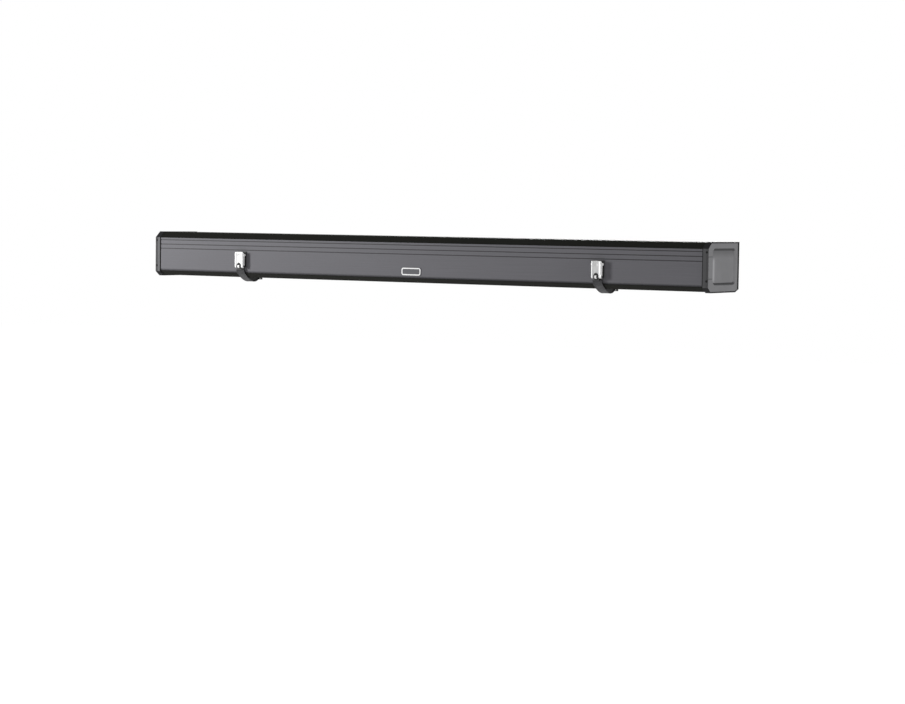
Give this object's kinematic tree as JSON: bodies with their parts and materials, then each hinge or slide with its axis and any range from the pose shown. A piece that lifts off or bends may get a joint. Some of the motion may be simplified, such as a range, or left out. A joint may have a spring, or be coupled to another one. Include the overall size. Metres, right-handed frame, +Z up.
{
  "type": "vehicle side awning",
  "caption": "Hard cassette side awning for a vehicle: black case, grooved grey front rail, latches and straps, roller canopy, folding arms and swing-down legs.",
  "frame": {"origin": "middle of the flat back face of the case, half way along and half way up", "axes": "+X along the case to its right end as the front is looked at, +Y back towards the vehicle, +Z up"},
  "size_m": [2.5, 0.3253, 0.1902],
  "materials": {
    "black_case": "black anodised, satin",
    "rail_panel": "dark grey anodised, satin",
    "cap_moulding": "moulded grey plastic, fine texture",
    "black_plastic": "moulded black plastic",
    "rubber": "matte",
    "stainless": "brushed",
    "dark_steel": "black powder coat",
    "arm_aluminium": "clear anodised, satin",
    "canopy_fabric": "coated ripstop cloth",
    "webbing": "woven polyester webbing",
    "badge": "bare dark plate with a pale rim"
  },
  "bodies": {
    "case": {"case_extrusion": "black_case", "left_end_cap": "cap_moulding", "left_cap_gasket": "rubber", "left_mount_bracket": "dark_steel", "left_lower_bracket_bolt": "stainless", "left_upper_bracket_bolt": "stainless", "left_roller_bearing": "black_plastic", "left_shoulder_bracket": "black_case", "left_shoulder_pin": "stainless", "left_strap_anchor": "dark_steel", "right_end_cap": "cap_moulding", "right_cap_gasket": "rubber", "right_mount_bracket": "dark_steel", "right_lower_bracket_bolt": "stainless", "right_upper_bracket_bolt": "stainless", "right_roller_bearing": "black_plastic", "right_shoulder_bracket": "black_case", "right_shoulder_pin": "stainless", "right_strap_anchor": "dark_steel"},
    "roller": {"roller_tube": "arm_aluminium", "fabric_roll": "canopy_fabric", "left_roller_plug": "black_plastic", "right_roller_plug": "black_plastic"},
    "hem": {"hem_bar": "black_plastic", "canopy_strip": "canopy_fabric"},
    "left_upper": {"left_upper_arm": "arm_aluminium", "left_elbow_pin": "stainless"},
    "left_fore": {"left_forearm": "arm_aluminium"},
    "rail": {"front_rail": "rail_panel", "rail_seal": "rubber", "badge_plate": "badge", "left_rail_casting": "black_case", "left_wrist_pin": "stainless", "left_leg_hinge": "black_plastic", "left_leg_pin": "stainless", "left_latch_base": "black_plastic", "left_lever_pin": "dark_steel", "left_strap": "webbing", "right_rail_casting": "black_case", "right_wrist_pin": "stainless", "right_leg_hinge": "black_plastic", "right_leg_pin": "stainless", "right_latch_base": "black_plastic", "right_lever_pin": "dark_steel", "right_strap": "webbing"},
    "right_upper": {"right_upper_arm": "arm_aluminium", "right_elbow_pin": "stainless"},
    "right_fore": {"right_forearm": "arm_aluminium"},
    "left_leg": {"left_outer_leg": "arm_aluminium"},
    "left_leg_slide": {"left_inner_leg": "arm_aluminium", "left_leg_foot": "rubber"},
    "left_collar": {"left_lock_collar": "black_plastic"},
    "left_lever": {"left_latch_lever": "stainless"},
    "right_leg": {"right_outer_leg": "arm_aluminium"},
    "right_leg_slide": {"right_inner_leg": "arm_aluminium", "right_leg_foot": "rubber"},
    "right_collar": {"right_lock_collar": "black_plastic"},
    "right_lever": {"right_latch_lever": "stainless"}
  },
  "joints": [
    {"name": "deploy", "type": "hinge", "parent": "case", "child": "left_upper", "pos_m": [-1.16, -0.12, -0.0495], "axis": [0, 0.1045, -0.9945], "range_deg": [0, 75], "deforming": ["left_strap", "right_strap"]},
    {"name": "left_elbow", "type": "hinge", "parent": "left_upper", "child": "left_fore", "pos_m": [-0.08, -0.12, -0.0495], "axis": [0, 0.1045, -0.9945], "range_deg": [-150, 0]},
    {"name": "left_wrist", "type": "hinge", "parent": "left_fore", "child": "rail", "pos_m": [-1.16, -0.12, -0.0495], "axis": [0, 0.1045, -0.9945], "range_deg": [0, 75]},
    {"name": "right_shoulder", "type": "hinge", "parent": "case", "child": "right_upper", "pos_m": [1.16, -0.12, -0.0495], "axis": [0, -0.1045, 0.9945], "range_deg": [0, 75]},
    {"name": "right_elbow", "type": "hinge", "parent": "right_upper", "child": "right_fore", "pos_m": [0.08, -0.12, -0.0495], "axis": [0, -0.1045, 0.9945], "range_deg": [-150, 0]},
    {"name": "canopy_hem", "type": "slide", "parent": "case", "child": "hem", "axis": [0, -0.9945, -0.1045], "range_m": [0, 2.0864], "deforming": ["canopy_strip"]},
    {"name": "roller_spin", "type": "hinge", "parent": "case", "child": "roller", "pos_m": [0, -0.065, 0.0445], "axis": [1, 0, 0], "range_deg": [0, 4125]},
    {"name": "left_leg_swing", "type": "hinge", "parent": "rail", "child": "left_leg", "pos_m": [-1.17, -0.206, 0.0345], "axis": [0, 1, 0], "range_deg": [0, 90]},
    {"name": "left_leg_extend", "type": "slide", "parent": "left_leg", "child": "left_leg_slide", "axis": [1, 0, 0], "range_m": [0, 0.9]},
    {"name": "left_collar_twist", "type": "hinge", "parent": "left_leg", "child": "left_collar", "pos_m": [-0.153, -0.206, 0.0345], "axis": [1, 0, 0], "range_deg": [0, 90]},
    {"name": "left_latch", "type": "hinge", "parent": "rail", "child": "left_lever", "pos_m": [-0.81, -0.241, -0.0435], "axis": [1, 0, 0], "range_deg": [0, 100]},
    {"name": "right_leg_swing", "type": "hinge", "parent": "rail", "child": "right_leg", "pos_m": [1.17, -0.206, -0.0075], "axis": [0, -1, 0], "range_deg": [0, 90]},
    {"name": "right_leg_extend", "type": "slide", "parent": "right_leg", "child": "right_leg_slide", "axis": [-1, 0, 0], "range_m": [0, 0.9]},
    {"name": "right_collar_twist", "type": "hinge", "parent": "right_leg", "child": "right_collar", "pos_m": [0.153, -0.206, -0.0075], "axis": [-1, 0, 0], "range_deg": [0, 90]},
    {"name": "right_latch", "type": "hinge", "parent": "rail", "child": "right_lever", "pos_m": [0.81, -0.241, -0.0435], "axis": [1, 0, 0], "range_deg": [0, 100]}
  ],
  "couplings": [
    {"joint": "left_elbow", "follows": "deploy", "ratio": -2},
    {"joint": "left_wrist", "follows": "deploy", "ratio": 1},
    {"joint": "right_shoulder", "follows": "deploy", "ratio": 1},
    {"joint": "right_elbow", "follows": "deploy", "ratio": -2},
    {"joint": "canopy_hem", "follows": "deploy", "m_per_rad": 1.5939},
    {"joint": "roller_spin", "follows": "deploy", "ratio": 55},
    {"joint": "left_leg_swing", "follows": "deploy", "ratio": 1.2},
    {"joint": "right_leg_swing", "follows": "deploy", "ratio": 1.2}
  ]
}
